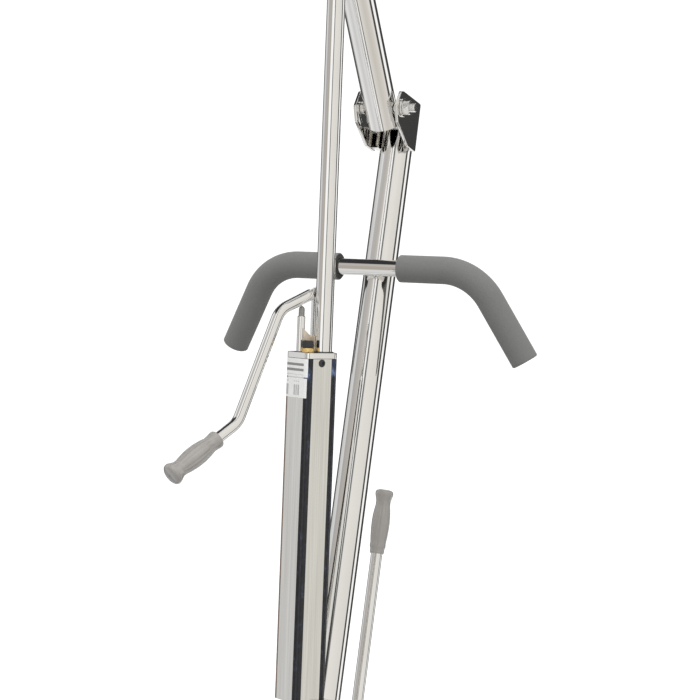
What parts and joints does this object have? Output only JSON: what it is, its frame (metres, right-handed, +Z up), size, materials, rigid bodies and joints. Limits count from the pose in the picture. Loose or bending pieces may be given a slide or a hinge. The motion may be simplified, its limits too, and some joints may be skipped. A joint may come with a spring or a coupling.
{
  "type": "patient lift hoist",
  "caption": "Manual hydraulic patient lift: chromed leaning mast, bent boom with spreader bar, hand pump, handlebar and spreading caster base.",
  "frame": {"origin": "on the floor under the middle of the lift's outline, legs closed and boom raised", "axes": "+Z up, -Y to the patient side where the boom and legs point, +X to the right hand of the patient side seen from the front"},
  "size_m": [0.704, 1.2846, 1.8995],
  "materials": {
    "chrome": "polished chrome plate",
    "zinc": "bright zinc plate",
    "yellow_zinc": "yellow passivated zinc",
    "brass": "machined",
    "foam": "matt foam",
    "vinyl": "semi-gloss moulded vinyl",
    "black_plastic": "black",
    "grey_tyre": "grey non-marking rubber"
  },
  "bodies": {
    "base": {"base_crossbeam": "chrome", "base_plate": "chrome", "mast_socket": "chrome", "socket_bolt": "zinc", "mast_tube": "chrome", "left_bracket_cheek": "chrome", "right_bracket_cheek": "chrome", "pivot_bolt": "chrome", "pivot_nut": "chrome", "left_pivot_washer": "chrome", "right_pivot_washer": "chrome", "handlebar": "chrome", "left_foam_grip": "foam", "right_foam_grip": "foam", "foot_bolt": "zinc", "left_leg_pivot_bolt": "zinc", "right_leg_pivot_bolt": "zinc", "cam_bolt": "zinc"},
    "boom": {"boom_tube": "chrome", "boom_tip_cap": "black_plastic", "hanger_bolt": "zinc"},
    "hanger": {"hanger_clevis": "chrome"},
    "spreader": {"swivel_stud": "zinc", "spreader_bar": "chrome"},
    "pump": {"pump_case": "chrome", "pump_cap": "chrome", "pump_base_plug": "zinc", "pump_yoke": "zinc", "lever_bracket": "yellow_zinc", "lever_link": "chrome", "valve_collar": "brass", "plunger_sleeve": "chrome", "case_screw": "black_plastic", "lever_pin": "zinc"},
    "ram": {"ram_rod": "chrome", "ram_fork": "chrome"},
    "lever": {"pump_lever": "chrome", "lever_grip": "vinyl"},
    "plunger": {"plunger_rod": "chrome"},
    "knob": {"release_knob": "black_plastic"},
    "shifter": {"cam_plate": "zinc", "shifter_rod": "chrome", "shifter_grip": "vinyl"},
    "left_link": {"left_tie_link": "zinc"},
    "right_link": {"right_tie_link": "zinc"},
    "left_leg": {"left_leg_tube": "chrome"},
    "right_leg": {"right_leg_tube": "chrome"},
    "left_front_fork": {"left_front_caster_fork": "zinc"},
    "left_front_wheel": {"left_front_caster_wheel": "grey_tyre"},
    "left_rear_fork": {"left_rear_caster_fork": "zinc"},
    "left_rear_wheel": {"left_rear_caster_wheel": "grey_tyre"},
    "left_rear_brake": {"left_rear_caster_brake_pedal": "black_plastic"},
    "right_front_fork": {"right_front_caster_fork": "zinc"},
    "right_front_wheel": {"right_front_caster_wheel": "grey_tyre"},
    "right_rear_fork": {"right_rear_caster_fork": "zinc"},
    "right_rear_wheel": {"right_rear_caster_wheel": "grey_tyre"},
    "right_rear_brake": {"right_rear_caster_brake_pedal": "black_plastic"}
  },
  "joints": [
    {"name": "boom_lift", "type": "hinge", "parent": "base", "child": "boom", "pos_m": [0, 0.5621, 1.33], "axis": [1, 0, 0], "range_deg": [0, 62]},
    {"name": "hanger_level", "type": "hinge", "parent": "boom", "child": "hanger", "pos_m": [0, -0.16226, 1.8711], "axis": [1, 0, 0], "range_deg": [-62.1, 0.1]},
    {"name": "spreader_swivel", "type": "hinge", "parent": "hanger", "child": "spreader", "pos_m": [0, -0.16226, 1.7891], "axis": [0, 0, 1], "continuous": true},
    {"name": "pump_tilt", "type": "hinge", "parent": "base", "child": "pump", "pos_m": [0, 0.32796, 0.366], "axis": [1, 0, 0], "range_deg": [-0.1, 8.02]},
    {"name": "ram_slide", "type": "slide", "parent": "pump", "child": "ram", "axis": [0, 0.0884, 0.9961], "range_m": [-0.25009, 0.001]},
    {"name": "pump_lever_stroke", "type": "hinge", "parent": "pump", "child": "lever", "pos_m": [-0.01466, 0.39943, 1.09293], "axis": [-0.9048, 0.4241, -0.0377], "range_deg": [0, 50]},
    {"name": "plunger_stroke", "type": "slide", "parent": "pump", "child": "plunger", "axis": [0, 0.0884, 0.9961], "range_m": [-0.0005, 0.02356]},
    {"name": "release_valve", "type": "hinge", "parent": "pump", "child": "knob", "pos_m": [-0.01082, 0.36288, 1.01666], "axis": [0, 0.0884, 0.9961], "range_deg": [0, 90]},
    {"name": "base_shifter", "type": "hinge", "parent": "base", "child": "shifter", "pos_m": [0, 0.23144, 0.1325], "axis": [0, 0, 1], "range_deg": [0, 50]},
    {"name": "left_leg_spread", "type": "hinge", "parent": "base", "child": "left_leg", "pos_m": [-0.225, 0.1577, 0.115], "axis": [0, 0, 1], "range_deg": [-17.1, 0.1]},
    {"name": "right_leg_spread", "type": "hinge", "parent": "base", "child": "right_leg", "pos_m": [0.225, 0.1577, 0.115], "axis": [0, 0, 1], "range_deg": [-0.1, 17.1]},
    {"name": "left_link_turn", "type": "hinge", "parent": "shifter", "child": "left_link", "pos_m": [0, 0.20144, 0.1375], "axis": [0, 0, 1], "range_deg": [-46.56, 0.1]},
    {"name": "right_link_turn", "type": "hinge", "parent": "shifter", "child": "right_link", "pos_m": [0, 0.26144, 0.1375], "axis": [0, 0, 1], "range_deg": [-46.56, 0.1]},
    {"name": "left_front_caster_swivel", "type": "hinge", "parent": "left_leg", "child": "left_front_fork", "pos_m": [-0.225, -0.6073, 0.1], "axis": [0, 0, 1], "continuous": true},
    {"name": "left_front_wheel_roll", "type": "hinge", "parent": "left_front_fork", "child": "left_front_wheel", "pos_m": [-0.225, -0.5853, 0.0375], "axis": [1, 0, 0], "continuous": true},
    {"name": "left_rear_caster_swivel", "type": "hinge", "parent": "base", "child": "left_rear_fork", "pos_m": [-0.33, 0.2777, 0.1], "axis": [0, 0, 1], "continuous": true},
    {"name": "left_rear_wheel_roll", "type": "hinge", "parent": "left_rear_fork", "child": "left_rear_wheel", "pos_m": [-0.33, 0.3097, 0.0625], "axis": [1, 0, 0], "continuous": true},
    {"name": "left_rear_brake", "type": "hinge", "parent": "left_rear_fork", "child": "left_rear_brake", "pos_m": [-0.33, 0.3377, 0.13], "axis": [-1, 0, 0], "range_deg": [0, 15]},
    {"name": "right_front_caster_swivel", "type": "hinge", "parent": "right_leg", "child": "right_front_fork", "pos_m": [0.225, -0.6073, 0.1], "axis": [0, 0, 1], "continuous": true},
    {"name": "right_front_wheel_roll", "type": "hinge", "parent": "right_front_fork", "child": "right_front_wheel", "pos_m": [0.225, -0.5853, 0.0375], "axis": [1, 0, 0], "continuous": true},
    {"name": "right_rear_caster_swivel", "type": "hinge", "parent": "base", "child": "right_rear_fork", "pos_m": [0.33, 0.2777, 0.1], "axis": [0, 0, 1], "continuous": true},
    {"name": "right_rear_wheel_roll", "type": "hinge", "parent": "right_rear_fork", "child": "right_rear_wheel", "pos_m": [0.33, 0.3097, 0.0625], "axis": [1, 0, 0], "continuous": true},
    {"name": "right_rear_brake", "type": "hinge", "parent": "right_rear_fork", "child": "right_rear_brake", "pos_m": [0.33, 0.3377, 0.13], "axis": [-1, 0, 0], "range_deg": [0, 15]}
  ],
  "couplings": [
    {"joint": "hanger_level", "follows": "boom_lift", "ratio": -1},
    {"joint": "pump_tilt", "follows": "boom_lift", "ratio": 0.12781},
    {"joint": "ram_slide", "follows": "boom_lift", "m_per_rad": -0.2302},
    {"joint": "plunger_stroke", "follows": "pump_lever_stroke", "m_per_rad": 0.026422},
    {"joint": "left_leg_spread", "follows": "base_shifter", "ratio": -0.34},
    {"joint": "right_leg_spread", "follows": "base_shifter", "ratio": 0.34},
    {"joint": "left_link_turn", "follows": "base_shifter", "ratio": -0.92926},
    {"joint": "right_link_turn", "follows": "base_shifter", "ratio": -0.92926}
  ]
}
